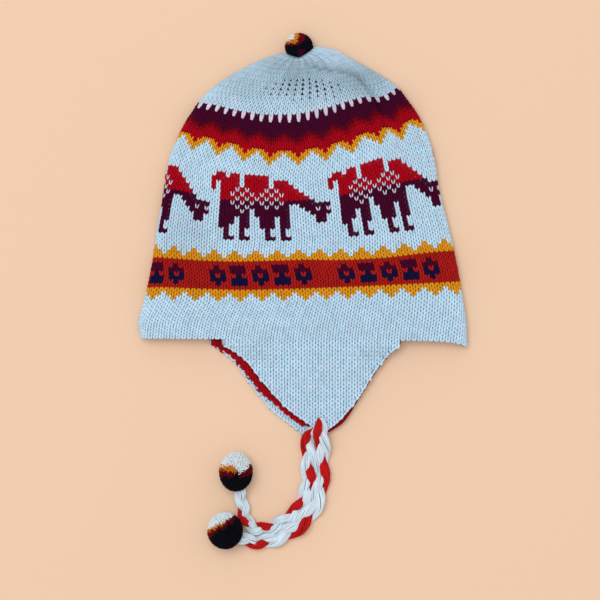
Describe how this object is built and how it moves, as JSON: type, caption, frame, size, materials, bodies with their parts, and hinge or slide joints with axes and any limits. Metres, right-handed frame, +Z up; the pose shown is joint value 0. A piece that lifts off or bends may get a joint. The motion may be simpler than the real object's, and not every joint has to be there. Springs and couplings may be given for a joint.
{
  "type": "chullo hat",
  "caption": "Knitted Andean ear-flap hat, double knit with llama bands, lying flat, with plaited braids and pompoms.",
  "frame": {"origin": "middle of the brim, on the surface that the hat lies on", "axes": "+Y from the brim towards the crown, +X towards the hat's right side as seen from above, +Z up from the surface"},
  "size_m": [0.2629, 0.4138, 0.0306],
  "materials": {
    "white_wool": "matte",
    "red_wool": "matte",
    "pompom_wool": "matte"
  },
  "bodies": {
    "root": {"knit_shell": "white_wool", "lining": "red_wool", "crown_pompom": "pompom_wool", "braid_front": "white_wool", "braid_back": "white_wool", "pompom_front": "pompom_wool", "pompom_back": "pompom_wool"}
  },
  "joints": []
}
